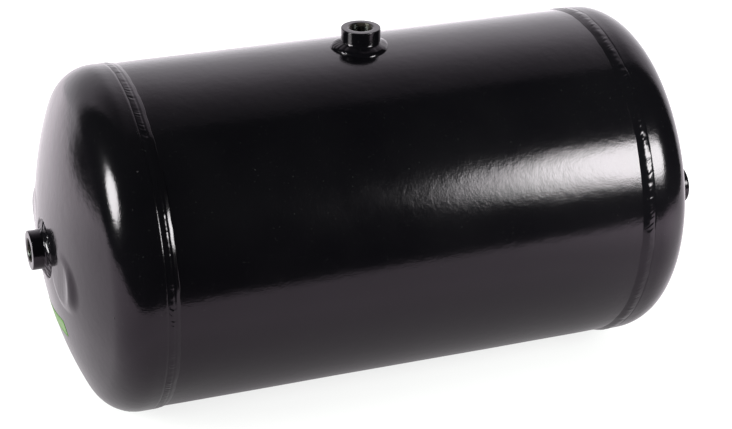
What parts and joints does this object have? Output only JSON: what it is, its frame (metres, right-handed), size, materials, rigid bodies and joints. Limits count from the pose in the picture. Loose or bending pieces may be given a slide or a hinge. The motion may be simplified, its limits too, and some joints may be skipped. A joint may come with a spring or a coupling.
{
  "type": "air receiver tank",
  "caption": "Cylindrical welded steel air receiver tank with dished heads and threaded port bosses, finished in gloss black paint.",
  "frame": {"origin": "on the tank's axis, halfway between the two heads, where the mounting straps hold the shell", "axes": "+X along the tank's axis towards the head with the off-centre port, +Z out of the top port"},
  "size_m": [0.6192, 0.3136, 0.3294],
  "materials": {
    "sheet_paint": "gloss black powder coat over rolled and pressed steel sheet",
    "weld_paint": "gloss black powder coat over weld beads",
    "boss_paint": "gloss black powder coat over turned steel, thinner inside the thread",
    "label_film": "plain green film label with a pale panel"
  },
  "bodies": {
    "root": {"shell": "sheet_paint", "left_head": "sheet_paint", "right_head": "sheet_paint", "left_girth_weld": "weld_paint", "right_girth_weld": "weld_paint", "shell_seam_weld": "weld_paint", "top_port_boss": "boss_paint", "left_port_boss": "boss_paint", "right_port_boss": "boss_paint", "top_port_weld": "weld_paint", "left_port_weld": "weld_paint", "right_port_weld": "weld_paint", "label": "label_film"}
  },
  "joints": []
}
